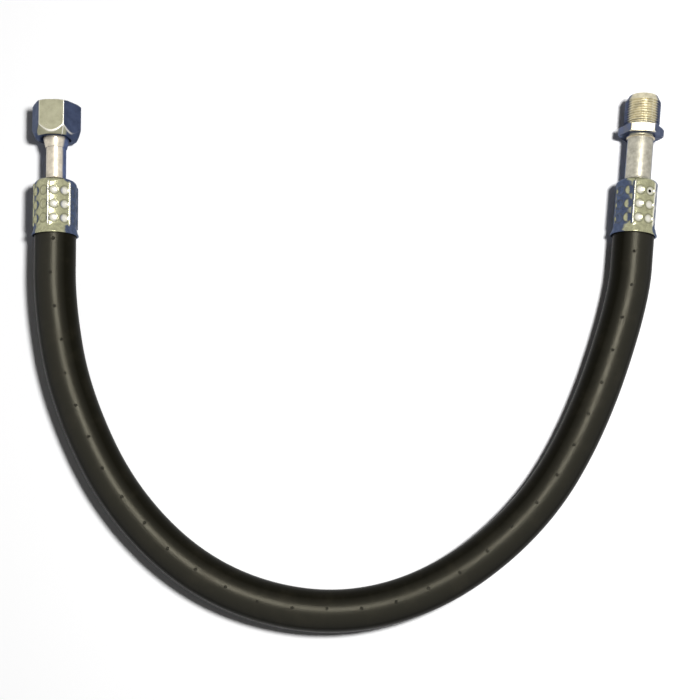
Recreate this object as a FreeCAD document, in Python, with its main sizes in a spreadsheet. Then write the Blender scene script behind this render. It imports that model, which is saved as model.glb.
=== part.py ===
"""Hydraulic hose assembly: a wire-braided rubber hose with a swivel nut on one end and a male thread on the other.

The hose lies on the ground in a wide U, with both fittings pointing along +Y. +X runs from the swivel end to the
male end and +Z is up. The origin is on the ground, midway between the two fittings.

Each fitting is drawn in its own frame. Along, its Z, is the distance outwards from the ferrule's mouth, where the
hose comes out, and its X points up when the hose lies on the ground.
"""

import FreeCAD, Part
import math
import os
import re
import Sketcher
from FreeCAD import Matrix, Placement, Rotation, Vector

document = FreeCAD.newDocument("HydraulicHoseAssembly")
sheet = document.addObject("Spreadsheet::Sheet", "Sizes")

# Driving sizes, in millimetres, degrees and counts.
SIZES = [
    # Hose, from the inside out
    ("hose_bore_radius", 6.35, "half of the nominal 12.7 mm bore"),
    ("liner_wall", 1.6, "oil-resistant rubber liner"),
    ("wire_braid_wall", 0.75, "each of the two steel wire braids"),
    ("interply_wall", 0.4, "rubber between the braids"),
    ("cover_wall", 1.45, "outer rubber cover"),
    ("ply_gap", 0.05, "drawn gap between one ply and the next"),
    ("ground_gap", 0.05, "hose above the ground"),
    # Crimped ferrule, the same at both ends
    ("ferrule_length", 32.0, "mouth to outer end"),
    ("ferrule_wall", 1.7, "wall over the braid"),
    ("crimp_gap", 0.03, "drawn gap between ferrule and braid"),
    ("bell_radius", 12.8, "outer radius of the flared mouth"),
    ("bell_length", 5.5, "length of the flare"),
    ("bell_land", 1.8, "straight bore at the mouth"),
    ("mouth_gap", 0.3, "between the cover and the mouth"),
    ("cover_entry", 1.6, "cover left on inside the mouth"),
    ("end_wall", 3.0, "inward flange that locks on the stem"),
    ("shoulder_round", 3.2, "outer corner of the end wall"),
    ("rib_radius", 1.3, "rib left between two crimping dies"),
    ("rib_height", 0.4, "rib above the wall"),
    ("die_count", 6, "dies round the ferrule"),
    ("dimple_first", 8.4, "mouth to the first row"),
    ("dimple_pitch", 7.9, "row to row"),
    ("dimple_rows", 3, "rows of dimples"),
    ("dimple_width", 4.4, "across one dimple"),
    ("dimple_floor", 1.8, "across its flat floor"),
    ("dimple_depth", 0.8, "below the wall"),
    ("dimple_angle", 15.0, "each column from the middle of its die"),
    ("witness_radius", 0.9, "hole that shows the hose is fully in"),
    # Barbed stems
    ("tail_start", 1.0, "mouth to the tip of the barbed tail"),
    ("barb_fit", 0.02, "barb crest inside the bore"),
    ("barb_depth", 0.6, "crest to root"),
    ("barb_pitch", 4.6, "barb to barb"),
    ("barb_count", 5, "barbs on a tail"),
    ("collar_length", 1.8, "collar inside the end wall"),
    ("collar_height", 1.2, "collar above the tube"),
    ("seat_gap", 0.05, "between parts that seat face to face"),
    ("hose_end_gap", 0.2, "hose end to collar"),
    ("lip_length", 1.0, "lip outside the end wall"),
    ("lip_height", 0.6, "lip above the tube"),
    # Swivel end
    ("swivel_tube_radius", 5.5, "bare tube of the stem"),
    ("swivel_bore_radius", 4.0, "fluid passage"),
    ("nut_start", 56.5, "mouth to the nut's back face"),
    ("nut_length", 19.5, "back face to front face"),
    ("nut_flats", 24.0, "across flats"),
    ("nut_back_rim", 11.35, "radius of the back face"),
    ("nut_front_rim", 12.9, "radius of the front face"),
    ("nut_back_angle", 26.0, "taper of the back, from the axis"),
    ("nut_front_angle", 60.0, "chamfer of the front, from the axis"),
    ("nut_roll", 2.6, "turn of the nut on the stem"),
    ("nut_land", 3.1, "bore that runs on the sleeve"),
    ("nut_bore_chamfer", 1.1, "lead-in of that bore"),
    ("nut_relief_radius", 10.2, "groove behind the thread"),
    ("nut_relief_length", 1.8, "length of that groove"),
    ("thread_minor_radius", 9.19, "M20 x 1.5 nut thread, at its crests"),
    ("thread_mouth_radius", 10.3, "countersink at the front"),
    ("sleeve_tail", 5.4, "sleeve behind the nut"),
    ("sleeve_taper", 4.9, "tapered length of the tail"),
    ("sleeve_tip_wall", 0.27, "wall at the tip of the tail"),
    ("sleeve_wall", 1.5, "wall of the running land"),
    ("sleeve_gap", 0.08, "sleeve on the tube"),
    ("running_gap", 0.1, "nut on the sleeve"),
    ("flange_height", 1.9, "flange that the nut pulls on, above the land"),
    ("flange_length", 2.2, "straight rim of the flange"),
    ("sleeve_seat", 1.0, "countersink for the stem's head"),
    ("head_height", 2.8, "head above the tube"),
    ("head_rim", 0.6, "straight rim of the head"),
    ("cone_step", 1.0, "head's rim down to the root of the sealing cone"),
    ("cone_length", 6.2, "sealing cone"),
    ("cone_angle", 12.0, "half of the 24 degree cone"),
    ("o_ring_place", 3.0, "root of the cone to the middle of the O-ring's groove"),
    ("o_ring_radius", 0.75, "half of the O-ring's thickness"),
    ("groove_width", 1.9, "groove for the O-ring"),
    ("groove_depth", 1.1, "depth of the groove at its middle"),
    # Male end
    ("male_tube_radius", 7.25, "bare tube of the stem"),
    ("male_bore_radius", 4.5, "fluid passage"),
    ("hex_start", 58.4, "mouth to the hexagon"),
    ("hex_length", 4.7, "thickness of the hexagon"),
    ("hex_flats", 22.0, "across flats"),
    ("hex_rim", 11.9, "radius of both faces"),
    ("hex_angle", 60.0, "chamfer, from the axis"),
    ("hex_roll", -10.6, "turn of the hexagon"),
    ("ring_wall", 0.72, "ring behind the hexagon, round the tube"),
    ("ring_length", 1.1, "length of the ring"),
    ("socket_depth", 4.3, "tube inside the connector"),
    ("socket_gap", 0.03, "tube in its socket"),
    ("braze_width", 0.7, "fillet of braze round the tube"),
    ("undercut_radius", 9.1, "thread run-out groove"),
    ("undercut_length", 1.3, "length of that groove"),
    ("male_thread_radius", 9.97, "M20 x 1.5 male thread, over its crests"),
    ("male_thread_length", 13.6, "groove to nose"),
    ("nose_length", 3.8, "tapered nose"),
    ("nose_radius", 8.0, "tip of the nose"),
    ("seat_mouth_radius", 7.15, "24 degree seat at the tip"),
    ("seat_bore_radius", 6.05, "bore below the seat"),
    ("seat_bore_length", 6.2, "length of that bore"),
]

# Turns of the crimped ferrules about their own axes, in degrees.
SWIVEL_FERRULE_ROLL = -3.2
MALE_FERRULE_ROLL = -20.5

# The hose's route seen from above, from the male ferrule's mouth to the swivel ferrule's mouth. At each end its
# first points lie at the fittings' height, and the rest lie on the ground.
ROUTE = [
    (162.2, -40.4),
    (158.4, -76.9),
    (133.7, -146.9),
    (100.7, -198.9),
    (47.2, -238.9),
    (-12.8, -251.9),
    (-75.8, -234.9),
    (-124.8, -190.9),
    (-154.8, -130.9),
    (-164.8, -78.9),
    (-165.6, -40.4),
]
ARC_SHARE = 0.45
LEVEL_POINTS = 2

for row, (alias, size, meaning) in enumerate(SIZES, start=1):
    sheet.set(f"A{row}", meaning)
    sheet.set(f"B{row}", str(size))
    sheet.setAlias(f"B{row}", alias)
document.recompute()


def bound(expression):
    """The expression with its size names pointing at the sheet."""
    return re.sub(r"\b([a-z]+(?:_[a-z]+)+)\b", r"Sizes.\1", expression)


def number(expression):
    """The value of an expression of sizes."""
    return float(sheet.evalExpression(bound(expression)))


def origin_plane(body, role):
    """One of a body's own origin planes."""
    return next(o for o in body.Origin.OriginFeatures if o.Role == role)


def outline(body, name, corners):
    """A closed sketch on the plane through the axis. A corner is its radius and its distance along, as expressions."""
    sketch = body.newObject("Sketcher::SketchObject", name)
    sketch.AttachmentSupport = (origin_plane(body, "XZ_Plane"), [""])
    sketch.MapMode = "FlatFace"
    points = [Vector(number(radius), number(along), 0) for radius, along in corners]
    for index, point in enumerate(points):
        sketch.addGeometry(Part.LineSegment(point, points[(index + 1) % len(points)]), False)
    for index in range(len(points)):
        sketch.addConstraint(Sketcher.Constraint("Coincident", index, 2, (index + 1) % len(points), 1))
    for index, (radius, along) in enumerate(corners):
        for kind, expression, value in (
            ("DistanceX", radius, points[index].x),
            ("DistanceY", along, points[index].y),
        ):
            constraint = sketch.addConstraint(Sketcher.Constraint(kind, -1, 1, index, 1, value))
            sketch.setExpression(f"Constraints[{constraint}]", bound(expression))
    return sketch


def turned(body, name, corners, kind="Revolution"):
    """Material turned about the axis from an outline, or cut away by it when kind is Groove."""
    sketch = outline(body, name + "Outline", corners)
    feature = body.newObject("PartDesign::" + kind, name)
    feature.Profile = sketch
    feature.ReferenceAxis = (sketch, ["V_Axis"])
    feature.Angle = 360
    body.Tip = feature
    document.recompute()
    return feature


def primitive(body, kind, name, x="0", y="0", along="0", **sizes):
    """An additive or subtractive primitive with its place and its sizes bound to the sheet."""
    feature = body.newObject("PartDesign::" + kind, name)
    feature.AttachmentSupport = (origin_plane(body, "XY_Plane"), [""])
    feature.MapMode = "FlatFace"
    for axis, expression in (("x", x), ("y", y), ("z", along)):
        feature.setExpression("AttachmentOffset.Base." + axis, bound(expression))
    for size, expression in sizes.items():
        feature.setExpression(size, bound(expression))
    document.recompute()
    return feature


def hexagon(body, name, flats, along, length):
    """A hexagonal prism with one flat facing the frame's X axis."""
    prism = primitive(
        body,
        "AdditivePrism",
        name,
        along=along,
        Circumradius=f"{flats} / 2 / cos(30)",
        Height=length,
    )
    prism.Polygon = 6
    prism.AttachmentOffset = Placement(
        prism.AttachmentOffset.Base, Rotation(Vector(0, 0, 1), 30)
    )
    document.recompute()
    return prism


def corner_chamfer(body, name, flats, rim, angle, face, inwards):
    """The cone that takes the hexagon's corners off at one face: inwards is 1 where the nut lies beyond the face."""
    outside = f"({flats} / 2 / cos(30) + 1)"
    depth = f"(({outside} - {rim}) / tan({angle}))"
    sign = "+" if inwards > 0 else "-"
    turned(
        body,
        name,
        [(rim, face), (outside, face), (outside, f"{face} {sign} {depth}")],
        "Groove",
    )


# Where the fittings sit: each frame's Z follows the hose's first run, outwards from the mouth.
def route_point(index, height):
    """A point of the route, at that height."""
    across, away = ROUTE[index]
    return Vector(across, away, height)


AXIS_HEIGHT = number("bell_radius")
REINFORCEMENT_WALL = "(2 * wire_braid_wall + interply_wall)"
BRAID_RADIUS = f"(hose_bore_radius + liner_wall + ply_gap + {REINFORCEMENT_WALL})"
HOSE_RADIUS = f"({BRAID_RADIUS} + ply_gap + cover_wall)"
HOSE_HEIGHT = number(f"{HOSE_RADIUS} + ground_gap")


def fitting_frame(mouth_index, next_index, roll):
    """The placement of a fitting's frame, turned by roll degrees about its own axis."""
    mouth = route_point(mouth_index, AXIS_HEIGHT)
    out = (mouth - route_point(next_index, AXIS_HEIGHT)).normalize()
    up = Vector(0, 0, 1)
    side = out.cross(up)
    matrix = Matrix(
        up.x, side.x, out.x, mouth.x,
        up.y, side.y, out.y, mouth.y,
        up.z, side.z, out.z, mouth.z,
        0, 0, 0, 1,
    )
    return Placement(matrix).multiply(Placement(Vector(), Rotation(Vector(0, 0, 1), roll)))


def swivel_end(roll=0.0):
    return fitting_frame(-1, -2, roll)


def male_end(roll=0.0):
    return fitting_frame(0, 1, roll)


# Hose. The liner and the reinforcement, which is two wire braids with rubber between them, run from one stem's
# collar to the other's. The cover is skived back to just inside each mouth, so that the ferrule grips the braid.
COLLAR_START = "(ferrule_length - end_wall - seat_gap - collar_length)"
HOSE_END = f"({COLLAR_START} - hose_end_gap)"


def route_path(depth):
    """The hose's centreline as straight runs joined by tangent arcs, reaching that depth into both ferrules."""
    on_table = len(ROUTE) - 2 * LEVEL_POINTS
    heights = [AXIS_HEIGHT] * LEVEL_POINTS + [HOSE_HEIGHT] * on_table + [AXIS_HEIGHT] * LEVEL_POINTS
    points = [route_point(index, height) for index, height in enumerate(heights)]
    inside_male = male_end().multVec(Vector(0, 0, depth))
    inside_swivel = swivel_end().multVec(Vector(0, 0, depth))
    edges, radii, reached = [], [], inside_male
    for before, corner, after in zip(points, points[1:], points[2:]):
        back, ahead = before - corner, after - corner
        tangent = ARC_SHARE * min(back.Length, ahead.Length)
        half_turn = (math.pi - back.getAngle(ahead)) / 2
        radius = tangent / math.tan(half_turn)
        back.normalize()
        ahead.normalize()
        middle = corner + (back + ahead).normalize() * (radius / math.cos(half_turn) - radius)
        arc_start, arc_end = corner + back * tangent, corner + ahead * tangent
        edges.append(Part.LineSegment(reached, arc_start).toShape())
        edges.append(Part.Arc(arc_start, middle, arc_end).toShape())
        radii.append(radius)
        reached = arc_end
    edges.append(Part.LineSegment(reached, inside_swivel).toShape())
    return Part.Wire(edges), radii


def ply(label, inner, thickness, depth):
    """One ply of the hose, a tube along the route. Returns the expression of its outer radius."""
    outer = f"({inner} + {thickness})"
    path, radii = route_path(number(depth))
    start = path.Edges[0].valueAt(path.Edges[0].FirstParameter)
    heading = path.Edges[0].tangentAt(path.Edges[0].FirstParameter)
    walls = [
        path.makePipeShell([Part.Wire(Part.makeCircle(number(radius), start, heading))], True, False)
        for radius in (outer, inner)
    ]
    feature = document.addObject("Part::Feature", label)
    feature.Shape = walls[0].cut(walls[1])
    section = math.pi * (number(outer) ** 2 - number(inner) ** 2)
    print(
        f"{label}: {path.Length:.1f} mm long, volume {feature.Shape.Volume:.0f} mm3,"
        f" section times length {section * path.Length:.0f} mm3"
    )
    return outer, radii


PLIES = [
    ("hose_liner", "liner_wall", HOSE_END),
    ("wire_braid", REINFORCEMENT_WALL, HOSE_END),
    ("hose_cover", "cover_wall", "cover_entry"),
]
inner = "hose_bore_radius"
for label, thickness, depth in PLIES:
    outer, radii = ply(label, inner, thickness, depth)
    inner = f"({outer} + ply_gap)"
print("route radii in mm:", [round(radius) for radius in radii])


# Ferrules. Each is a turned cup crimped over the braid by six dies, which leave a rib between one die and the next
# and three rows of two dimples under each die.
FERRULE_BORE = f"({BRAID_RADIUS} + crimp_gap)"
FERRULE_RADIUS = f"({FERRULE_BORE} + ferrule_wall)"
SHOULDER_STEP = "(shoulder_round * (1 - cos(45)))"


def ferrule(label, tube_radius, placement, witness_hole):
    """A crimped ferrule whose end wall locks on a stem of that tube radius."""
    body = document.addObject("PartDesign::Body", label)
    turned(
        body,
        label + "_blank",
        [
            ("0", "0"),
            ("bell_radius", "0"),
            ("bell_radius - 0.15", "0.5"),
            (FERRULE_RADIUS, "bell_length"),
            (FERRULE_RADIUS, "ferrule_length - shoulder_round"),
            (f"{FERRULE_RADIUS} - {SHOULDER_STEP}", f"ferrule_length - {SHOULDER_STEP}"),
            (f"{FERRULE_RADIUS} - shoulder_round", "ferrule_length"),
            ("0", "ferrule_length"),
        ],
    )
    rib = primitive(
        body,
        "AdditiveCylinder",
        label + "_rib",
        x=f"{FERRULE_RADIUS} + rib_height - rib_radius",
        along="bell_length - 0.8",
        Radius="rib_radius",
        Height="ferrule_length - shoulder_round - bell_length + 1.4",
    )
    ribs = body.newObject("PartDesign::PolarPattern", label + "_ribs")
    ribs.Originals = [rib]
    ribs.Axis = (origin_axis(body), [""])
    ribs.Angle = 360
    ribs.setExpression("Occurrences", bound("die_count"))
    body.Tip = ribs
    document.recompute()
    for side, sign in (("left", "-"), ("right", "+")):
        angle = f"(180 / die_count {sign} dimple_angle)"
        floor = f"({FERRULE_RADIUS} - dimple_depth)"
        dimple = primitive(
            body,
            "SubtractiveCone",
            f"{label}_{side}_dimple",
            x=f"{floor} * cos({angle})",
            y=f"{floor} * sin({angle})",
            along="dimple_first",
            Radius1="dimple_floor / 2",
            Radius2="dimple_width - dimple_floor / 2",
            Height="2 * dimple_depth",
        )
        face_outwards(dimple, angle)
        dimples = body.newObject("PartDesign::MultiTransform", f"{label}_{side}_dimples")
        dimples.Originals = [dimple]
        rows = body.newObject("PartDesign::LinearPattern", f"{label}_{side}_rows")
        rows.Direction = (origin_axis(body), [""])
        rows.Mode = "Spacing"
        rows.setExpression("Offset", bound("dimple_pitch"))
        rows.setExpression("Occurrences", bound("dimple_rows"))
        around = body.newObject("PartDesign::PolarPattern", f"{label}_{side}_dies")
        around.Axis = (origin_axis(body), [""])
        around.Angle = 360
        around.setExpression("Occurrences", bound("die_count"))
        dimples.Transformations = [rows, around]
        body.Tip = dimples
        document.recompute()
    turned(
        body,
        label + "_bore",
        [
            ("0", "-1"),
            (f"{HOSE_RADIUS} + mouth_gap", "-1"),
            (f"{HOSE_RADIUS} + mouth_gap", "bell_land"),
            (FERRULE_BORE, "bell_length - 0.7"),
            (FERRULE_BORE, "ferrule_length - end_wall"),
            (f"{tube_radius} + crimp_gap", "ferrule_length - end_wall"),
            (f"{tube_radius} + crimp_gap", "ferrule_length + 1"),
            ("0", "ferrule_length + 1"),
        ],
        "Groove",
    )
    if witness_hole:
        drill_witness_hole(body, label + "_witness_hole")
    body.Placement = placement
    return body


def origin_axis(body):
    """A body's own Z axis."""
    return next(o for o in body.Origin.OriginFeatures if o.Role == "Z_Axis")


def face_outwards(feature, angle):
    """Turns a primitive's own axis to point away from the fitting's axis at that angle."""
    turn = math.radians(number(angle))
    outwards = Vector(math.cos(turn), math.sin(turn), 0)
    feature.AttachmentOffset = Placement(
        feature.AttachmentOffset.Base, Rotation(Vector(0, 0, 1), outwards)
    )
    document.recompute()


def drill_witness_hole(body, name):
    """A small hole through the wall, at the dimple next to the end wall on the side of the fitting that faces +X."""
    angle = "(180 / die_count + dimple_angle)"
    hole = primitive(
        body,
        "SubtractiveCylinder",
        name,
        x=f"({FERRULE_BORE} - 1) * cos({angle})",
        y=f"({FERRULE_BORE} - 1) * sin({angle})",
        along="dimple_first + (dimple_rows - 1) * dimple_pitch",
        Radius="witness_radius",
        Height="ferrule_wall + 4",
    )
    face_outwards(hole, angle)
    body.Tip = hole


ferrule(
    "female_end_ferrule",
    "swivel_tube_radius",
    swivel_end(SWIVEL_FERRULE_ROLL),
    witness_hole=False,
)
ferrule(
    "male_end_ferrule",
    "male_tube_radius",
    male_end(MALE_FERRULE_ROLL),
    witness_hole=True,
)


# Stems. Each is turned in one piece: a barbed tail inside the hose, a collar and a lip that lock the ferrule's end
# wall between them, and a bare tube.
def stem_tail(tube_radius, bore_radius):
    """The outline of a stem from its bore at the tail's tip, over the barbs, to the bare tube beyond the lip."""
    crest = "(hose_bore_radius - barb_fit)"
    root = f"({crest} - barb_depth)"
    corners = [(bore_radius, "tail_start"), (root, "tail_start")]
    for barb in range(int(number("barb_count"))):
        step = f"(tail_start + 0.8 + {barb} * barb_pitch)"
        corners += [
            (root, step),
            (crest, f"{step} + 0.75 * barb_pitch"),
            (root, f"{step} + 0.8 * barb_pitch"),
        ]
    collar_end = f"({COLLAR_START} + collar_length)"
    lip_start = "(ferrule_length + seat_gap)"
    corners += [
        (root, COLLAR_START),
        (f"{tube_radius} + collar_height", COLLAR_START),
        (f"{tube_radius} + collar_height", collar_end),
        (tube_radius, collar_end),
        (tube_radius, lip_start),
        (f"{tube_radius} + lip_height", lip_start),
        (f"{tube_radius} + lip_height", f"{lip_start} + 0.6 * lip_length"),
        (tube_radius, f"{lip_start} + lip_length"),
    ]
    return corners


# The swivel end's stem carries a head with a 24 degree sealing cone, which the nut pulls into the mating seat.
NUT_SEAT = "(nut_start + nut_land)"
FLANGE_START = f"({NUT_SEAT} + running_gap)"
SLEEVE_BORE = "(swivel_tube_radius + sleeve_gap)"
SLEEVE_LAND = f"({SLEEVE_BORE} + sleeve_wall)"
SLEEVE_FRONT = f"({FLANGE_START} + flange_height + flange_length)"
HEAD_START = f"({SLEEVE_FRONT} - sleeve_seat + running_gap)"
HEAD_RADIUS = "(swivel_tube_radius + head_height)"
HEAD_FRONT = f"({HEAD_START} + head_height + head_rim)"
GROOVE_FLOOR = f"({HEAD_RADIUS} - cone_step - o_ring_place * tan(cone_angle) - groove_depth)"
GROOVE_START = "(o_ring_place - groove_width / 2)"
GROOVE_END = "(o_ring_place + groove_width / 2)"


def on_cone(distance):
    """The corner of the outline on the sealing cone, at that distance from its root."""
    return f"{HEAD_RADIUS} - cone_step - {distance} * tan(cone_angle)", f"{HEAD_FRONT} + {distance}"


swivel_stem = document.addObject("PartDesign::Body", "female_end_stem")
turned(
    swivel_stem,
    "swivel_stem_turned",
    stem_tail("swivel_tube_radius", "swivel_bore_radius")
    + [
        ("swivel_tube_radius", HEAD_START),
        (HEAD_RADIUS, f"{HEAD_START} + head_height"),
        (HEAD_RADIUS, HEAD_FRONT),
        on_cone("0"),
        on_cone(GROOVE_START),
        (GROOVE_FLOOR, f"{HEAD_FRONT} + {GROOVE_START}"),
        (GROOVE_FLOOR, f"{HEAD_FRONT} + {GROOVE_END}"),
        on_cone(GROOVE_END),
        on_cone("cone_length"),
        ("swivel_bore_radius", f"{HEAD_FRONT} + cone_length"),
    ],
)
swivel_stem.Placement = swivel_end()

o_ring = document.addObject("PartDesign::Body", "o_ring")
ring = primitive(
    o_ring,
    "AdditiveTorus",
    "o_ring_torus",
    along=f"{HEAD_FRONT} + o_ring_place",
    Radius1=f"{GROOVE_FLOOR} + seat_gap + o_ring_radius",
    Radius2="o_ring_radius",
)
o_ring.Tip = ring
document.recompute()
o_ring.Placement = swivel_end()

male_stem = document.addObject("PartDesign::Body", "male_end_stem")
SOCKET_START = "(hex_start - ring_length)"
SOCKET_END = f"({SOCKET_START} + socket_depth)"
turned(
    male_stem,
    "male_stem_turned",
    stem_tail("male_tube_radius", "male_bore_radius")
    + [
        ("male_tube_radius", f"{SOCKET_END} - seat_gap"),
        ("male_bore_radius", f"{SOCKET_END} - seat_gap"),
    ],
)
male_stem.Placement = male_end()


# Thrust sleeve. A turned ring that slides on the stem behind its head; the nut pulls on its flange and turns on its
# land, and its tapered tail shows behind the nut.
sleeve = document.addObject("PartDesign::Body", "thrust_sleeve")
SLEEVE_START = "(nut_start - sleeve_tail)"
turned(
    sleeve,
    "sleeve_turned",
    [
        (SLEEVE_BORE, SLEEVE_START),
        (f"{SLEEVE_BORE} + sleeve_tip_wall", SLEEVE_START),
        (SLEEVE_LAND, f"{SLEEVE_START} + sleeve_taper"),
        (SLEEVE_LAND, FLANGE_START),
        (f"{SLEEVE_LAND} + flange_height", f"{FLANGE_START} + flange_height"),
        (f"{SLEEVE_LAND} + flange_height", SLEEVE_FRONT),
        (f"{SLEEVE_BORE} + sleeve_seat", SLEEVE_FRONT),
        (SLEEVE_BORE, f"{SLEEVE_FRONT} - sleeve_seat"),
    ],
)
sleeve.Placement = swivel_end()


# Swivel nut. A hexagonal nut with a tapered back, bored to run on the sleeve, with a shoulder, a relief groove and a
# thread inside. The bore is drawn at the thread's crests.
nut = document.addObject("PartDesign::Body", "swivel_nut")
NUT_END = "(nut_start + nut_length)"
NUT_BORE = f"({SLEEVE_LAND} + running_gap)"
hexagon(nut, "nut_blank", "nut_flats", "nut_start", "nut_length")
corner_chamfer(nut, "nut_back_taper", "nut_flats", "nut_back_rim", "nut_back_angle", "nut_start", 1)
corner_chamfer(nut, "nut_front_chamfer", "nut_flats", "nut_front_rim", "nut_front_angle", NUT_END, -1)
RELIEF_START = f"({NUT_SEAT} + nut_relief_radius - {NUT_BORE})"
RELIEF_END = f"({RELIEF_START} + nut_relief_length)"
THREAD_START = f"({RELIEF_END} + nut_relief_radius - thread_minor_radius)"
THREAD_END = f"({NUT_END} - thread_mouth_radius + thread_minor_radius)"
turned(
    nut,
    "nut_bore",
    [
        ("0", "nut_start - 1"),
        (f"{NUT_BORE} + nut_bore_chamfer", "nut_start - 1"),
        (f"{NUT_BORE} + nut_bore_chamfer", "nut_start"),
        (NUT_BORE, "nut_start + nut_bore_chamfer"),
        (NUT_BORE, NUT_SEAT),
        ("nut_relief_radius", RELIEF_START),
        ("nut_relief_radius", RELIEF_END),
        ("thread_minor_radius", THREAD_START),
        ("thread_minor_radius", THREAD_END),
        ("thread_mouth_radius", NUT_END),
        ("thread_mouth_radius", f"{NUT_END} + 1"),
        ("0", f"{NUT_END} + 1"),
    ],
    "Groove",
)
nut.Placement = swivel_end(number("nut_roll"))


# Male connector. A hexagonal body brazed on the stem's tube, with a male thread, a tapered nose and a 24 degree seat
# inside the tip. The thread is drawn as a cylinder over its crests.
connector = document.addObject("PartDesign::Body", "male_connector")
HEX_END = "(hex_start + hex_length)"
SOCKET = "(male_tube_radius + socket_gap)"
MALE_THREAD_START = f"({HEX_END} + undercut_length)"
MALE_THREAD_END = f"({MALE_THREAD_START} + male_thread_length)"
TIP = f"({MALE_THREAD_END} + nose_length)"
hexagon(connector, "connector_hexagon", "hex_flats", "hex_start", "hex_length")
corner_chamfer(connector, "hexagon_back_chamfer", "hex_flats", "hex_rim", "hex_angle", "hex_start", 1)
corner_chamfer(connector, "hexagon_front_chamfer", "hex_flats", "hex_rim", "hex_angle", HEX_END, -1)
turned(
    connector,
    "connector_turned",
    [
        ("0", SOCKET_START),
        (f"{SOCKET} + ring_wall", SOCKET_START),
        (f"{SOCKET} + ring_wall", "hex_start + hex_length / 2"),
        ("undercut_radius", "hex_start + hex_length / 2"),
        ("undercut_radius", MALE_THREAD_START),
        ("male_thread_radius", f"{MALE_THREAD_START} + male_thread_radius - undercut_radius"),
        ("male_thread_radius", MALE_THREAD_END),
        ("nose_radius", TIP),
        ("0", TIP),
    ],
)
SEAT_START = f"({TIP} - (seat_mouth_radius - seat_bore_radius) / tan(cone_angle))"
turned(
    connector,
    "connector_bore",
    [
        ("0", f"{SOCKET_START} - 1"),
        (SOCKET, f"{SOCKET_START} - 1"),
        (SOCKET, SOCKET_END),
        ("male_bore_radius", SOCKET_END),
        ("male_bore_radius", f"{SEAT_START} - seat_bore_length"),
        ("seat_bore_radius", f"{SEAT_START} - seat_bore_length"),
        ("seat_bore_radius", SEAT_START),
        ("seat_mouth_radius", TIP),
        ("seat_mouth_radius", f"{TIP} + 1"),
        ("0", f"{TIP} + 1"),
    ],
    "Groove",
)
connector.Placement = male_end(number("hex_roll"))


# Braze fillet. The ring of filler metal between the connector's ring and the stem's tube.
braze = document.addObject("PartDesign::Body", "braze_fillet")
turned(
    braze,
    "braze_turned",
    [
        (SOCKET, f"{SOCKET_START} - seat_gap"),
        (f"{SOCKET} + braze_width", f"{SOCKET_START} - seat_gap"),
        (SOCKET, f"{SOCKET_START} - seat_gap - braze_width"),
    ],
)
braze.Placement = male_end()


# Every object is checked before any file is written.
NODES = [label for label, _, _ in PLIES] + [
    "female_end_ferrule",
    "female_end_stem",
    "o_ring",
    "thrust_sleeve",
    "swivel_nut",
    "male_end_ferrule",
    "male_end_stem",
    "braze_fillet",
    "male_connector",
]
document.recompute()
for item in document.Objects:
    if "Invalid" in item.State or "Error" in item.State:
        raise RuntimeError(f"{item.Label} failed: {item.State}")
for label in NODES:
    shape = document.getObject(label).Shape
    if shape.isNull() or not shape.isValid() or not shape.Solids:
        raise RuntimeError(f"{label} has no valid shape")

os.makedirs("parts", exist_ok=True)
for label in NODES:
    document.getObject(label).Shape.exportStep(os.path.join("parts", label + ".step"))
    box = document.getObject(label).Shape.BoundBox
    print(f"{label}: {len(document.getObject(label).Shape.Solids)} solid, {box}")
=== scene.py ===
"""A hydraulic hose assembly, laid out on a white table: a wire-braided rubber hose, crimped steel ferrules,
a swivel nut on the left end and a male thread on the right end."""

import math

import bmesh
import bpy
from mathutils import Matrix, Vector


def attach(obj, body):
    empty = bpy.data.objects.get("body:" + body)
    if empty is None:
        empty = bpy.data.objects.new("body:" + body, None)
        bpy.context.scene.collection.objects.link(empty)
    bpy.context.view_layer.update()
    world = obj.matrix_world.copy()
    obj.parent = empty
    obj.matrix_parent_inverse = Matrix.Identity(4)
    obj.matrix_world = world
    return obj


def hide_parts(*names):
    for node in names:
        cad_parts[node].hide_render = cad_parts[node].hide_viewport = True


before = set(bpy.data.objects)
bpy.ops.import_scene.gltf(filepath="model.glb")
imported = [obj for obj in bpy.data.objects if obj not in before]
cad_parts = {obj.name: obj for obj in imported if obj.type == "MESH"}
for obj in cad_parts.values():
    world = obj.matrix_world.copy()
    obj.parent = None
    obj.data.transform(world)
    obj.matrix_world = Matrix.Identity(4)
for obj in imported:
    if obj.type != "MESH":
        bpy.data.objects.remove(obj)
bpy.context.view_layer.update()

# Hose
# A two-braid hydraulic hose, 22.8 mm thick with a 12.7 mm bore. The cover is satin black synthetic rubber,
# cured in a smooth sheath, and pricked along its top so that gas can leave it. Its skived ends sit inside the
# ferrules.
MM = 0.001
HOSE_RADIUS = 11.4
BRAID_RADIUS = 9.9
HOSE_BORE = 6.35
COVER_ENTRY = 1.6
BRAID_ENTRY = 26.95
ROUTE = [
    (0.164991, -0.013595, 0.0128),
    (0.1622, -0.0404, 0.0128),
    (0.1584, -0.0769, 0.0128),
    (0.1337, -0.1469, 0.01145),
    (0.1007, -0.1989, 0.01145),
    (0.0472, -0.2389, 0.01145),
    (-0.0128, -0.2519, 0.01145),
    (-0.0758, -0.2349, 0.01145),
    (-0.1248, -0.1909, 0.01145),
    (-0.1548, -0.1309, 0.01145),
    (-0.1648, -0.0789, 0.0128),
    (-0.1656, -0.0404, 0.0128),
    (-0.16616, -0.013456, 0.0128),
]
MALE_MOUTH, MALE_RUN = Vector(ROUTE[1]), Vector(ROUTE[2])
FEMALE_MOUTH, FEMALE_RUN = Vector(ROUTE[-2]), Vector(ROUTE[-3])


def new_object(name, data, material=None):
    """An object in the scene with that data and material."""
    made = bpy.data.objects.new(name, data)
    bpy.context.scene.collection.objects.link(made)
    if material:
        data.materials.append(material)
    return made


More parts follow.
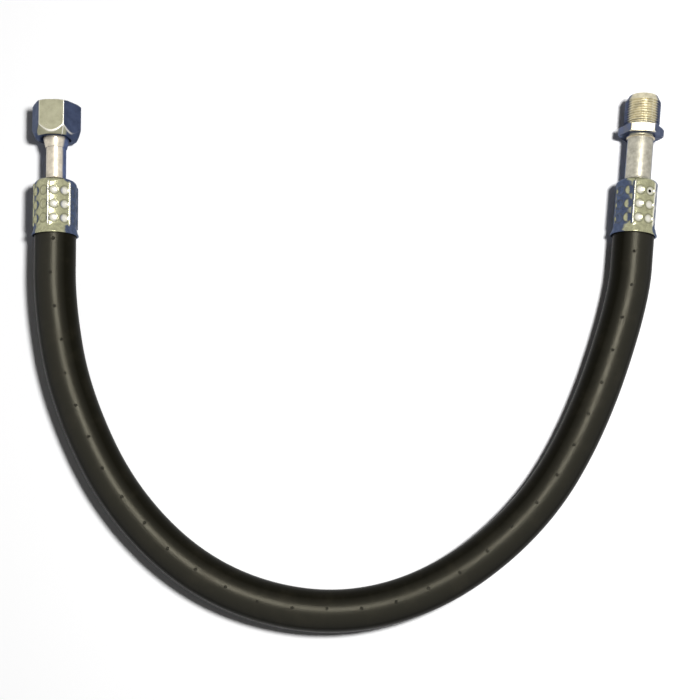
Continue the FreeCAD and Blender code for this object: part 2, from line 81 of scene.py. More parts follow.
def evaluated_mesh(made):
    """What an object's modifiers or curve make of it, as a plain mesh."""
    bpy.context.view_layer.update()
    return bpy.data.meshes.new_from_object(made.evaluated_get(bpy.context.evaluated_depsgraph_get()))


route_curve = bpy.data.curves.new("route", "CURVE")
route_curve.dimensions = "3D"
spline = route_curve.splines.new("NURBS")
spline.points.add(len(ROUTE) - 1)
for point, place in zip(spline.points, ROUTE):
    point.co = (*place, 1.0)
spline.order_u = 3
spline.use_endpoint_u = True
spline.resolution_u = 64
route = new_object("route", route_curve)
centreline = [vertex.co.copy() for vertex in evaluated_mesh(route).vertices]
route_length = sum((b - a).length for a, b in zip(centreline, centreline[1:])) / MM


def add(tree, kind, inputs=(), **settings):
    """A node with its settings and its inputs, by place or name: each a value, a socket or another node."""
    node = tree.nodes.new(kind)
    for name, value in settings.items():
        setattr(node, name, value)
    for key, value in inputs.items() if isinstance(inputs, dict) else enumerate(inputs):
        if isinstance(value, bpy.types.Node):
            value = value.outputs[0]
        if isinstance(value, bpy.types.NodeSocket):
            tree.links.new(value, node.inputs[key])
        elif value is not None:
            node.inputs[key].default_value = value
    return node


def linear(colour):
    """A hex sRGB colour as linear RGBA."""
    channels = [int(colour[i : i + 2], 16) / 255 for i in (1, 3, 5)]
    return (*[c / 12.92 if c <= 0.04045 else ((c + 0.055) / 1.055) ** 2.4 for c in channels], 1.0)


def new_material(name, **values):
    """A material with its tree and its Principled shader, whose named sockets are set."""
    material = bpy.data.materials.new(name)
    material.use_nodes = True
    shader = material.node_tree.nodes["Principled BSDF"]
    for socket, value in values.items():
        shader.inputs[socket.replace("_", " ")].default_value = value
    return material, material.node_tree, shader


def blend(tree, share, first, second):
    """The first colour, giving way to the second as share rises: each a hex colour or a socket."""
    ends = [linear(end) if isinstance(end, str) else end for end in (first, second)]
    return add(tree, "ShaderNodeMix", {0: share, 6: ends[0], 7: ends[1]}, data_type="RGBA").outputs[2]


# Cover rubber: a cured elastomer, satin and near black with a warm olive cast. It reflects fully on top and less
# towards the sides and below, a painted shade that keeps its sides dark. The sheath leaves it smooth, with fine
# lengthwise flow lines and dull scuffs. Its UV map is in mm: round the hose, and along it.
FLOW_LINE = 0.5
FLOW_DEPTH = 0.00006
SCUFF = 16.0
rubber, tree, shader = new_material("cured_cover_rubber", IOR=1.52, Specular_Tint=linear("#FFFAE6"))
topside = add(tree, "ShaderNodeSeparateXYZ", [add(tree, "ShaderNodeNewGeometry").outputs["Normal"]])
# Painted shade: the reflection level falls as the cover turns away from facing up.
sides_shaded_specular = add(tree, "ShaderNodeMapRange", [topside.outputs[2], 0.72, 1.0, 0.03, 0.30])
tree.links.new(sides_shaded_specular.outputs[0], shader.inputs["Specular IOR Level"])
skin = add(tree, "ShaderNodeTexCoord").outputs["UV"]
drawn_out = add(tree, "ShaderNodeMapping", {"Vector": skin, "Scale": (1.0, 0.05, 1.0)})
flow = add(tree, "ShaderNodeTexNoise", {"Vector": drawn_out, "Scale": 1 / FLOW_LINE, "Detail": 3.0})
scuffs = add(tree, "ShaderNodeTexNoise", {"Vector": skin, "Scale": 1 / SCUFF, "Detail": 7.0, "Roughness": 0.65})
scuffed = add(tree, "ShaderNodeMapRange", [scuffs, 0.5, 0.72, 0.0, 1.0]).outputs[0]
tone = blend(tree, scuffed, "#100F09", "#1B1912")
satin = add(tree, "ShaderNodeMapRange", [scuffed, 0.0, 1.0, 0.34, 0.42])
tree.links.new(satin.outputs[0], shader.inputs["Roughness"])
relief = add(tree, "ShaderNodeBump", {"Strength": 0.7, "Distance": FLOW_DEPTH, "Height": flow})

# Pin-pricks: one small hole every 19 mm along the hose's top, off the line by a stray that changes slowly along
# the hose, and with a raised lip. Each hole is painted darker than the cover: painted shade inside it.
PRICK_PITCH = 19.0
PRICK_RADIUS = 0.42
PRICK_DEPTH = 0.0002
PRICK_STRAY = (-3.8, -0.6)
across_hose = add(tree, "ShaderNodeSeparateXYZ", [skin])
stray = add(tree, "ShaderNodeTexNoise", {"Vector": skin, "Scale": 1 / (2 * PRICK_PITCH), "Detail": 1.0})
strayed = add(tree, "ShaderNodeMapRange", [stray, 0.3, 0.7, *PRICK_STRAY])
off_line = add(tree, "ShaderNodeMath", [across_hose.outputs[0], strayed], operation="ADD")
off_row = add(tree, "ShaderNodeMath", [across_hose.outputs[1], PRICK_PITCH / 2], operation="PINGPONG")
place = add(tree, "ShaderNodeCombineXYZ", [off_line, off_row, 0.0])
reach = add(tree, "ShaderNodeVectorMath", [place], operation="LENGTH").outputs["Value"]
hole = add(tree, "ShaderNodeMapRange", [reach, 0.5 * PRICK_RADIUS, PRICK_RADIUS, 0.0, 1.0])
lip = add(tree, "ShaderNodeMapRange", [reach, PRICK_RADIUS, 2.2 * PRICK_RADIUS, 1.0, 0.0])
pricked = add(tree, "ShaderNodeMath", [hole, 0.8, lip], operation="MULTIPLY_ADD")
relief = add(
    tree,
    "ShaderNodeBump",
    {"Strength": 1.0, "Distance": PRICK_DEPTH, "Height": pricked, "Normal": relief},
)
tree.links.new(relief.outputs[0], shader.inputs["Normal"])
# Painted shade: the prick holes take a darker colour.
tree.links.new(blend(tree, hole, "#080807", tone), shader.inputs["Base Color"])


def new_tree(name, **sizes):
    """A geometry tree with a geometry input, named inputs with their defaults, and its input node."""
    tree = bpy.data.node_groups.new(name, "GeometryNodeTree")
    tree.interface.new_socket("Geometry", in_out="INPUT", socket_type="NodeSocketGeometry")
    for size, value in sizes.items():
        kind = "NodeSocket" + (value if isinstance(value, str) else "Float")
        socket = tree.interface.new_socket(size.replace("_", " "), in_out="INPUT", socket_type=kind)
        if not isinstance(value, str):
            socket.default_value = value
    tree.interface.new_socket("Geometry", in_out="OUTPUT", socket_type="NodeSocketGeometry")
    return tree, add(tree, "NodeGroupInput").outputs


def calc(operation, *values):
    """A sum in the tree that is being built."""
    return add(tree, "ShaderNodeMath", values, operation=operation).outputs[0]


def vector(operation, *values, **named):
    """A vector sum in the tree that is being built."""
    pairs = dict(enumerate(values)) | named
    return add(tree, "ShaderNodeVectorMath", pairs, operation=operation).outputs[0]


def finish_tree(geometry, material):
    """Ends the tree that is being built: real geometry, with its material."""
    real = add(tree, "GeometryNodeRealizeInstances", [geometry])
    add(tree, "NodeGroupOutput", [add(tree, "GeometryNodeSetMaterial", [real, None, material])])


def shaped(made, tree, **values):
    """Gives the object the plain mesh that a geometry tree makes of it, with its named inputs set."""
    modifier = made.modifiers.new(tree.name, "NODES")
    modifier.node_group = tree
    for item in tree.interface.items_tree:
        key = item.name.replace(" ", "_")
        if item.in_out == "INPUT" and key in values:
            modifier[item.identifier] = values[key]
    mesh = evaluated_mesh(made)
    made.modifiers.remove(modifier)
    made.data = mesh


# A straight hose is laid along the route: each of its points goes to its own distance along the route, and
# keeps its place round the centreline, with up staying up.
tree, sizes = new_tree("lay_along_route", Route="Object")
straight = add(tree, "ShaderNodeSeparateXYZ", [add(tree, "GeometryNodeInputPosition")])
laid = add(tree, "GeometryNodeObjectInfo", [sizes["Route"]]).outputs["Geometry"]
there = add(tree, "GeometryNodeSampleCurve", {"Curves": laid, "Length": straight.outputs[2]}, mode="LENGTH")
ahead = there.outputs["Tangent"]
side = vector("NORMALIZE", vector("CROSS_PRODUCT", ahead, (0.0, 0.0, 1.0)))
lift = vector("SCALE", vector("CROSS_PRODUCT", side, ahead), Scale=straight.outputs[0])
shift = vector("SCALE", side, Scale=straight.outputs[1])
bent = vector("ADD", there.outputs["Position"], vector("ADD", lift, shift))
moved = add(tree, "GeometryNodeSetPosition", {"Geometry": sizes["Geometry"], "Position": bent})
finish_tree(moved, rubber)
lay_tree = tree


def steps(start, end, step):
    """Evenly spaced values from start to end, about step apart."""
    count = max(1, round(abs(end - start) / step))
    return [start + (end - start) * i / count for i in range(count + 1)]


def all_round(sides):
    """Evenly spaced angles all the way round, in degrees."""
    return [360 / sides * i for i in range(sides)]


def shade(made, sharp):
    """Points the faces outwards, and keeps an edge hard where its faces meet at more than sharp degrees."""
    work = bmesh.new()
    work.from_mesh(made.data)
    bmesh.ops.recalc_face_normals(work, faces=work.faces)
    for face in work.faces:
        face.smooth = True
    for edge in work.edges:
        edge.smooth = edge.calc_face_angle(0) < math.radians(sharp)
    work.to_mesh(made.data)
    work.free()


def turned(name, profile, angles, sharp=20):
    """A closed solid of revolution about Z from a closed profile of (radius, along) in mm, at those angles."""
    rows, around = len(profile), len(angles)
    points = [
        (radius * math.cos(math.radians(turn)) * MM, radius * math.sin(math.radians(turn)) * MM, along * MM)
        for radius, along in profile
        for turn in angles
    ]
    faces = [
        (
            row * around + column,
            row * around + (column + 1) % around,
            (row + 1) % rows * around + (column + 1) % around,
            (row + 1) % rows * around + column,
        )
        for row in range(rows)
        for column in range(around)
    ]
    mesh = bpy.data.meshes.new(name)
    mesh.from_pydata(points, [], faces)
    made = new_object(name, mesh)
    shade(made, sharp)
    return made


HOSE_SIDES = 72
HOSE_STEP = 1.5
gripped = BRAID_ENTRY - COVER_ENTRY
hose_profile = (
    [(HOSE_BORE, 0.0), (BRAID_RADIUS, 0.0), (BRAID_RADIUS, gripped)]
    + [(HOSE_RADIUS, along) for along in steps(gripped, route_length - gripped, HOSE_STEP)]
    + [(BRAID_RADIUS, route_length - gripped), (BRAID_RADIUS, route_length), (HOSE_BORE, route_length)]
    + [(HOSE_BORE, along) for along in steps(route_length, 0.0, 2 * HOSE_STEP)[1:-1]]
)
hose = turned("hose", hose_profile, all_round(HOSE_SIDES))
unrolled = hose.data.uv_layers.new(name="UVMap")
for polygon in hose.data.polygons:
    corners = [hose.data.vertices[index].co for index in polygon.vertices]
    turns = [math.atan2(corner.y, corner.x) for corner in corners]
    if max(turns) - min(turns) > math.pi:
        turns = [turn % (2 * math.pi) for turn in turns]
    for loop, turn, corner in zip(polygon.loop_indices, turns, corners):
        unrolled.data[loop].uv = (turn * HOSE_RADIUS, corner.z / MM)
shaped(hose, lay_tree, Route=route)
bpy.data.objects.remove(route)
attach(hose, "hose")
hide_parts("hose_liner", "wire_braid", "hose_cover")

# Ferrules
# Zinc-plated steel shells, pressed onto the hose by six dies. Each die leaves a nearly flat face with three
# rows of two round dimples, and the metal between two dies stands up as a rib. The mouth flares where the dies
# stop short.
FEMALE_TUBE = 5.5
MALE_TUBE = 7.25
FERRULE_LENGTH = 32.0
FERRULE_RADIUS = 11.63
FERRULE_BORE = 9.93
BELL_RADIUS = 12.8
BELL_LENGTH = 5.5
BELL_LIP = 0.5
BELL_CURVE = 1.7
MOUTH_BORE = 11.7
SHOULDER = 3.2
END_WALL = 3.0
TUBE_GAP = 0.03
FERRULE_SIDES = 288
FERRULE_CREASE = 45


def fitting_frame(mouth, run):
    """The frame of a fitting: it starts at its ferrule's mouth, Z leaves the hose and X points up."""
    out = (mouth - run).normalized()
    up = Vector((0.0, 0.0, 1.0))
    axes = Matrix((up, out.cross(up), out)).transposed()
    return Matrix.Translation(mouth) @ axes.to_4x4()


MALE_END = fitting_frame(MALE_MOUTH, MALE_RUN)
FEMALE_END = fitting_frame(FEMALE_MOUTH, FEMALE_RUN)

# Painted highlight: edge wear, dimples and ribs are painted light where they face a light 25 degrees to the
# right of overhead.
GLINT_LIGHT_LEAN = -25.0
GLINT_FACING = (0.76, 0.88)
WEAR_AND_GLINT_COLOUR = "#F2EFE6"
RIM_SHADE_COLOUR = "#4A4A3C"


def leaning(degrees):
    """The upward direction, tipped that far to the left."""
    return (-math.sin(math.radians(degrees)), 0.0, math.cos(math.radians(degrees)))


def plated_steel(name, end, top, flank, facing, lean=0.0, roughness=0.3, mottle=1.0, marks=0.0):
    """Zinc-plated, passivated steel, with a painted reflection: olive where it faces up on its fitting, and blue
    where it turns away to the sides.

    facing gives the cosines between which the one turns to the other, and lean tips that to the left, in
    degrees. mottle is the grain of the plating, and marks the depth of the rings that turning leaves, both in
    mm. The mesh's attribute edge marks edge wear, dimples and ribs, which get a painted highlight where they
    face the light, and its second attribute marks painted shade round the ferrule's dimples.
    """
    material, tree, shader = new_material(name, Metallic=1.0, Specular_Tint=linear("#C0C4CC"))
    upright = end.inverted()
    local = add(
        tree,
        "ShaderNodeMapping",
        {
            "Vector": add(tree, "ShaderNodeTexCoord").outputs["Object"],
            "Location": upright.translation,
            "Rotation": upright.to_euler(),
        },
    )
    grain = add(
        tree,
        "ShaderNodeTexNoise",
        {"Vector": local, "Scale": 1 / (mottle * MM), "Detail": 5.0, "Roughness": 0.6},
    )
    # Painted reflection: the colour runs from flank to top as the surface round the axis turns up, mottled by
    # the grain.
    normal = add(tree, "ShaderNodeNewGeometry").outputs["Normal"]
    endwise = add(tree, "ShaderNodeVectorMath", [normal, tuple(end.col[2][:3])], operation="PROJECT")
    sideways = add(tree, "ShaderNodeVectorMath", [normal, endwise], operation="SUBTRACT")
    round_axis = add(tree, "ShaderNodeVectorMath", [sideways], operation="NORMALIZE")
    turned_up = add(tree, "ShaderNodeVectorMath", [round_axis, leaning(lean)], operation="DOT_PRODUCT")
    not_endwise = add(tree, "ShaderNodeVectorMath", [sideways], operation="LENGTH").outputs["Value"]
    wall_share = add(tree, "ShaderNodeMapRange", [not_endwise, 0.05, 0.3, 0.0, 1.0])
    upward = add(tree, "ShaderNodeMath", [turned_up.outputs["Value"], wall_share], operation="MULTIPLY")
    wobble = add(tree, "ShaderNodeMapRange", [grain, 0.3, 0.7, -0.04, 0.04])
    tilt = add(tree, "ShaderNodeMath", [upward, wobble], operation="ADD")
    lit = add(tree, "ShaderNodeMapRange", [tilt, *facing, 0.0, 1.0], interpolation_type="SMOOTHSTEP")
    painted_reflection_tint = blend(tree, lit, flank, top)
    dull = add(tree, "ShaderNodeMapRange", [grain, 0.34, 0.66, 1.16, 0.78])
    mottled_reflection = add(tree, "ShaderNodeVectorMath", {0: painted_reflection_tint, "Scale": dull}, operation="SCALE").outputs[0]
    # Painted highlight: marked wear, dimples and ribs turn light where they face the light.
    edge = add(tree, "ShaderNodeAttribute", attribute_name="edge").outputs["Fac"]
    to_light = add(tree, "ShaderNodeVectorMath", [round_axis, leaning(GLINT_LIGHT_LEAN)], operation="DOT_PRODUCT")
    glint_facing = add(tree, "ShaderNodeMapRange", [to_light.outputs["Value"], *GLINT_FACING, 0.0, 1.0])
    wear_and_glint = add(tree, "ShaderNodeMath", [edge, glint_facing], operation="MULTIPLY")
    with_wear_and_glint = blend(tree, wear_and_glint, mottled_reflection, WEAR_AND_GLINT_COLOUR)
    # Painted shade: a darker colour where the mesh marks the dimple rims.
    dirt = add(tree, "ShaderNodeAttribute", attribute_name="dirt").outputs["Fac"]
    tree.links.new(blend(tree, dirt, with_wear_and_glint, RIM_SHADE_COLOUR), shader.inputs["Base Color"])
    rough = add(tree, "ShaderNodeMapRange", [grain, 0.3, 0.7, roughness - 0.05, roughness + 0.08])
    tree.links.new(rough.outputs[0], shader.inputs["Roughness"])
    relief = add(tree, "ShaderNodeBump", {"Strength": 0.35, "Distance": 0.00004, "Height": grain})
    if marks:
        spot = add(tree, "ShaderNodeSeparateXYZ", [local]).outputs
        across = add(tree, "ShaderNodeCombineXYZ", [spot[0], spot[1], 0.0])
        reach = add(tree, "ShaderNodeVectorMath", [across], operation="LENGTH")
        ring = add(tree, "ShaderNodeCombineXYZ", [reach.outputs["Value"], 0.0, spot[2]])
        rings = add(tree, "ShaderNodeTexNoise", {"Vector": ring, "Scale": 2500.0, "Detail": 2.0})
        relief = add(
            tree,
            "ShaderNodeBump",
            {"Strength": 0.5, "Distance": marks * MM, "Height": rings, "Normal": relief},
        )
    tree.links.new(relief.outputs[0], shader.inputs["Normal"])
    return material


def from_axis():
    """A point's coordinates, its offset from the Z axis and that offset's length, in the tree being built."""
    spot = add(tree, "ShaderNodeSeparateXYZ", [add(tree, "GeometryNodeInputPosition")]).outputs
    across = add(tree, "ShaderNodeCombineXYZ", [spot[0], spot[1], 0.0])
    return spot, across, add(tree, "ShaderNodeVectorMath", [across], operation="LENGTH").outputs["Value"]


def mark(geometry, attribute, value):
    """Stores a value on the points of the geometry, in the tree being built."""
    pairs = {"Geometry": geometry, "Name": attribute, "Value": value}
    return add(tree, "GeometryNodeStoreNamedAttribute", pairs)


# Crimping: a point of the outer wall finds its place under its die. The die's face is an arc of a wider circle
# than the ferrule's, a rib stands where two dies meet, and the nearest dimple is pressed in. The dimples and the
# ribs are marked for a painted highlight, and a ring round each dimple's rim for painted shade.
HALF_DIE = 30.0
LAST_ROW = 2.0
DIE_FADE = 0.0018
WALL_DEPTH = 0.0012
RIB_BLEND = 0.0003
DIMPLE_BLEND = 0.0001
RIM_SHADE_WIDTH = 0.0006
GLINT_SHARE = 0.8
RIM_SHADE_SHARE = 0.55
tree, sizes = new_tree(
    "crimp",
    Wall=11.63 * MM,
    Face_middle=11.3 * MM,
    Face_curve=24.0 * MM,
    Rib_radius=1.0 * MM,
    Rib_height=0.35 * MM,
    Dimple_radius=2.5 * MM,
    Dimple_depth=0.55 * MM,
    Dimple_angle=15.0,
    First_row=8.4 * MM,
    Row_pitch=7.9 * MM,
    Start=3.6 * MM,
    End=30.4 * MM,
)
spot, across, radius = from_axis()
turn = calc("DEGREES", calc("ARCTAN2", spot[1], spot[0]))
from_rib = calc("PINGPONG", turn, HALF_DIE)
from_middle = calc("RADIANS", calc("SUBTRACT", HALF_DIE, from_rib))
back = calc("SUBTRACT", sizes["Face curve"], sizes["Face middle"])
arm = calc("MULTIPLY", back, calc("SINE", from_middle))
reach = calc("SQRT", calc("SUBTRACT", calc("POWER", sizes["Face curve"], 2.0), calc("MULTIPLY", arm, arm)))
face = calc("SUBTRACT", reach, calc("MULTIPLY", back, calc("COSINE", from_middle)))
rib_arc = calc("MULTIPLY", calc("RADIANS", from_rib), sizes["Wall"])
rib_span = calc("SUBTRACT", calc("POWER", sizes["Rib radius"], 2.0), calc("MULTIPLY", rib_arc, rib_arc))
rib_round = calc("SUBTRACT", calc("SQRT", calc("MAXIMUM", rib_span, 0.0)), sizes["Rib radius"])
rib = calc("SMOOTH_MAX", calc("ADD", rib_round, sizes["Rib height"]), 0.0, RIB_BLEND)
column = calc("MULTIPLY", calc("RADIANS", calc("SUBTRACT", from_rib, sizes["Dimple angle"])), sizes["Wall"])
row = calc("DIVIDE", calc("SUBTRACT", spot[2], sizes["First row"]), sizes["Row pitch"])
nearest = add(tree, "ShaderNodeClamp", [calc("ROUND", row), 0.0, LAST_ROW])
off_row = calc("MULTIPLY", calc("SUBTRACT", row, nearest), sizes["Row pitch"])
off = calc("SQRT", calc("ADD", calc("MULTIPLY", column, column), calc("MULTIPLY", off_row, off_row)))
dish = calc("SUBTRACT", 1.0, calc("POWER", calc("DIVIDE", off, sizes["Dimple radius"]), 2.0))
dimple = calc("SMOOTH_MAX", calc("MULTIPLY", dish, sizes["Dimple depth"]), 0.0, DIMPLE_BLEND)
pressed = calc("ADD", calc("SUBTRACT", face, sizes["Wall"]), calc("SUBTRACT", rib, dimple))
entered = calc("ADD", sizes["Start"], DIE_FADE)
leaving = calc("SUBTRACT", sizes["End"], DIE_FADE)
enter, leave = [
    add(tree, "ShaderNodeMapRange", [spot[2], free, full], interpolation_type="SMOOTHSTEP").outputs[0]
    for free, full in ((sizes["Start"], entered), (sizes["End"], leaving))
]
outside = calc("GREATER_THAN", radius, calc("SUBTRACT", sizes["Wall"], WALL_DEPTH))
held = calc("MULTIPLY", calc("MULTIPLY", enter, leave), outside)
push = vector("SCALE", across, Scale=calc("DIVIDE", calc("MULTIPLY", pressed, held), radius))
# Painted highlight: dimple dishes and rib tops are marked to be painted light.
dimple_glint = add(tree, "ShaderNodeMapRange", [dish, 0.0, 0.9, 0.0, GLINT_SHARE])
rib_share = calc("DIVIDE", rib, sizes["Rib height"])
rib_glint = add(tree, "ShaderNodeMapRange", [rib_share, 0.3, 0.9, 0.0, GLINT_SHARE])
dimple_and_rib_glint = calc("MULTIPLY", calc("MAXIMUM", dimple_glint, rib_glint), held)
# Painted shade: a ring at each dimple's rim is marked to be painted darker.
from_rim = calc("ABSOLUTE", calc("SUBTRACT", off, calc("MULTIPLY", sizes["Dimple radius"], 1.05)))
rim_shade_mask = add(tree, "ShaderNodeMapRange", [from_rim, 0.0, RIM_SHADE_WIDTH, RIM_SHADE_SHARE, 0.0])
marked = mark(mark(sizes["Geometry"], "edge", dimple_and_rib_glint), "dirt", calc("MULTIPLY", rim_shade_mask, held))
crimped = add(tree, "GeometryNodeSetPosition", {"Geometry": marked, "Offset": push})
# Its top and flank colours are a painted reflection: olive facing up, blue towards the sides.
ferrule_steel = plated_steel(
    "zinc_plated_pressed_steel",
    FEMALE_END,
    top="#A9A888",
    flank="#4C566D",
    facing=(0.70, 0.80),
    roughness=0.22,
    mottle=2.0,
)
finish_tree(crimped, ferrule_steel)
crimp_tree = tree


def ferrule(name, tube_radius, end, roll, node):
    """A crimped ferrule on one end of the hose, turned by roll degrees about its axis."""
    hole = tube_radius + TUBE_GAP
    flare = BELL_RADIUS - FERRULE_RADIUS
    bell = [
        (FERRULE_RADIUS + flare * (1 - fall) ** BELL_CURVE, BELL_LIP + (BELL_LENGTH - BELL_LIP) * fall)
        for fall in steps(0.0, 1.0, 0.05)
    ]
    shoulder = [
        (FERRULE_RADIUS + SHOULDER * (math.cos(bend) - 1), FERRULE_LENGTH + SHOULDER * (math.sin(bend) - 1))
        for bend in steps(0.0, math.pi / 2, 0.13)
    ]
    profile = (
        [(FERRULE_BORE, 4.8), (MOUTH_BORE, 1.8), (MOUTH_BORE, 0.2), (MOUTH_BORE + 0.2, 0.0)]
        + [(BELL_RADIUS - 0.25, 0.0), (BELL_RADIUS - 0.05, 0.15)]
        + bell
        + [(FERRULE_RADIUS, along) for along in steps(BELL_LENGTH, FERRULE_LENGTH - SHOULDER, 0.24)[1:-1]]
        + shoulder
        + [(hole, FERRULE_LENGTH), (hole, FERRULE_LENGTH - END_WALL)]
        + [(FERRULE_BORE, FERRULE_LENGTH - END_WALL)]
    )
    shell = turned(name, profile, all_round(FERRULE_SIDES))
    shaped(shell, crimp_tree)
    shell.data.transform(end @ Matrix.Rotation(math.radians(roll), 4, "Z"))
    shade(shell, FERRULE_CREASE)
    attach(shell, "hose")
    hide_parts(node)
    return shell


ferrule("female_ferrule", FEMALE_TUBE, FEMALE_END, -3.2, "female_end_ferrule")
male_ferrule = ferrule("male_ferrule", MALE_TUBE, MALE_END, -20.5, "male_end_ferrule")

# The male ferrule has a small drilled hole, through which the hose is seen to be fully in.
WITNESS_RADIUS = 0.9
WITNESS_ALONG = 24.2
WITNESS_TURN = 24.5
DRILL_REACH = 12.0
DRILL_LENGTH = 6.0
work = bmesh.new()
bmesh.ops.create_cone(
    work,
    cap_ends=True,
    segments=32,
    radius1=WITNESS_RADIUS * MM,
    radius2=WITNESS_RADIUS * MM,
    depth=DRILL_LENGTH * MM,
)
drill_mesh = bpy.data.meshes.new("drill")
work.to_mesh(drill_mesh)
work.free()
at_wall = Matrix.Translation((DRILL_REACH * MM, 0.0, WITNESS_ALONG * MM))
standing = at_wall @ Matrix.Rotation(math.pi / 2, 4, "Y")
drill_mesh.transform(MALE_END @ Matrix.Rotation(math.radians(WITNESS_TURN), 4, "Z") @ standing)
drill = new_object("drill", drill_mesh)
drilled = male_ferrule.modifiers.new("drilled", "BOOLEAN")
drilled.object = drill
drilled.operation = "DIFFERENCE"
drilled.solver = "EXACT"
holed = evaluated_mesh(male_ferrule)
male_ferrule.modifiers.remove(drilled)
male_ferrule.data = holed
shade(male_ferrule, FERRULE_CREASE)
bpy.data.objects.remove(drill)

# Stems
# Steel tubes that carry the oil, cold-drawn, turned and zinc-plated. The barbed tail sits in the hose, a collar
# and a lip hold the ferrule's end wall, and the bare tube runs on to the fitting.
BARBS = 5
BARB_ROOT = 5.73
BARB_CREST = 6.33
BARB_START = 1.8
BARB_PITCH = 4.6
BARB_RISE = 3.45
BARB_LENGTH = 3.68
TAIL_TIP = 1.0
COLLAR_HEIGHT = 1.2
LIP_HEIGHT = 0.6


def broken(profile, cut=0.12):
    """The closed profile, each corner of over 30 degrees cut back by cut mm, as a tool or a file leaves it."""
    eased = []
    for index, corner in enumerate(profile):
        here = Vector(corner)
        legs = [Vector(profile[index - 1]) - here, Vector(profile[(index + 1) % len(profile)]) - here]
        if legs[0].angle(-legs[1]) > math.radians(30):
            eased += [tuple(here + leg.normalized() * min(cut, leg.length / 3)) for leg in legs]
        else:
            eased.append(corner)
    return eased


def tail(tube_radius):
    """The outside of a stem from its tip to its bare tube: five barbs, the collar and the lip."""
    barbs = []
    for barb in range(BARBS):
        start = BARB_START + BARB_PITCH * barb
        barbs += [(BARB_ROOT, start), (BARB_CREST, start + BARB_RISE), (BARB_ROOT, start + BARB_LENGTH)]
    collar, lip = tube_radius + COLLAR_HEIGHT, tube_radius + LIP_HEIGHT
    return (
        [(BARB_ROOT, TAIL_TIP)]
        + barbs
        + [(BARB_ROOT, 27.15), (collar, 27.15), (collar, 28.95), (tube_radius, 28.95)]
        + [(tube_radius, 32.05), (lip, 32.05), (lip, 32.65), (tube_radius, 33.25)]
    )


def placed(made, end, body, node, material, roll=0.0):
    """Puts a turned piece on its end of the hose, on its body, with its material, in place of its CAD node.

    The piece is first turned by roll degrees about its axis.
    """
    made.data.transform(end @ Matrix.Rotation(math.radians(roll), 4, "Z"))
    made.data.materials.clear()
    made.data.materials.append(material)
    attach(made, body)
    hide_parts(node)


# Its top and flank colours are a painted reflection: olive facing up, blue towards the sides.
tube_steel_left = plated_steel(
    "zinc_plated_drawn_steel_left",
    FEMALE_END,
    top="#CFC6B5",
    flank="#566384",
    facing=(0.25, 0.5),
    lean=12.0,
    roughness=0.42,
    mottle=3.0,
    marks=0.01,
)
# The right tube's copy: its top and flank colours are a painted reflection, set for the light on this side.
tube_steel_right = plated_steel(
    "zinc_plated_drawn_steel_right",
    MALE_END,
    top="#B4B0A2",
    flank="#566384",
    facing=(0.1, 0.4),
    lean=14.0,
    roughness=0.44,
    mottle=3.0,
    marks=0.012,
)
ROUND = all_round(144)
FEMALE_BORE = 4.0
MALE_BORE = 4.5
MALE_STEM_END = 61.55
CONE_SLOPE = math.tan(math.radians(12.0))
CONE_RADIUS = 7.3
CONE_START = 66.3
CONE_END = 72.5
GROOVE_RADIUS = 5.562
GROOVE_START, GROOVE_END = 68.35, 70.25


def cone(along):
    """A point of the 24 degree sealing cone."""
    return (CONE_RADIUS - (along - CONE_START) * CONE_SLOPE, along)


head = (
    [(FEMALE_TUBE, 62.9), (8.3, 65.7), (8.3, CONE_START), cone(CONE_START), cone(GROOVE_START)]
    + [(GROOVE_RADIUS, GROOVE_START), (GROOVE_RADIUS, GROOVE_END), cone(GROOVE_END), cone(CONE_END)]
    + [(FEMALE_BORE, CONE_END), (FEMALE_BORE, TAIL_TIP)]
)
female_stem = turned("female_stem", broken(tail(FEMALE_TUBE) + head), ROUND)
placed(female_stem, FEMALE_END, "hose", "female_end_stem", tube_steel_left)
cut_end = [(MALE_TUBE, MALE_STEM_END), (MALE_BORE, MALE_STEM_END), (MALE_BORE, TAIL_TIP)]
male_stem = turned("male_stem", broken(tail(MALE_TUBE) + cut_end), ROUND)
placed(male_stem, MALE_END, "hose", "male_end_stem", tube_steel_right)

# O-ring
# A moulded nitrile rubber ring, dull black. It lies in the groove of the sealing cone and stands proud of it, so
# that the nut's pull presses it tight.
RING_RADIUS = 6.362
RING_ALONG = 69.3
RING_SECTION = 0.75
nitrile, tree, shader = new_material("nitrile_rubber", Roughness=0.45, IOR=1.52)
speck = add(
    tree,
    "ShaderNodeTexNoise",
    {"Vector": add(tree, "ShaderNodeTexCoord").outputs["Object"], "Scale": 1500.0, "Detail": 3.0},
)
tree.links.new(blend(tree, speck, "#161616", "#262524"), shader.inputs["Base Color"])
section = [
    (RING_RADIUS + RING_SECTION * math.cos(turn), RING_ALONG - RING_SECTION * math.sin(turn))
    for turn in steps(0.0, 2 * math.pi, math.pi / 12)[:-1]
]
placed(turned("o_ring_seal", section, ROUND), FEMALE_END, "hose", "o_ring", nitrile)

# Thrust sleeve
# A turned steel sleeve that slides on the tube. The nut runs on its land and pulls on its flange, and its
# tapered tail shows behind the nut.
sleeve_profile = [
    (5.58, 51.1),
    (5.85, 51.1),
    (7.08, 56.0),
    (7.08, 59.7),
    (8.98, 61.6),
    (8.98, 63.8),
    (6.58, 63.8),
    (5.58, 62.8),
]
sleeve = turned("nut_thrust_sleeve", broken(sleeve_profile), ROUND)
placed(sleeve, FEMALE_END, "sleeve", "thrust_sleeve", tube_steel_left)

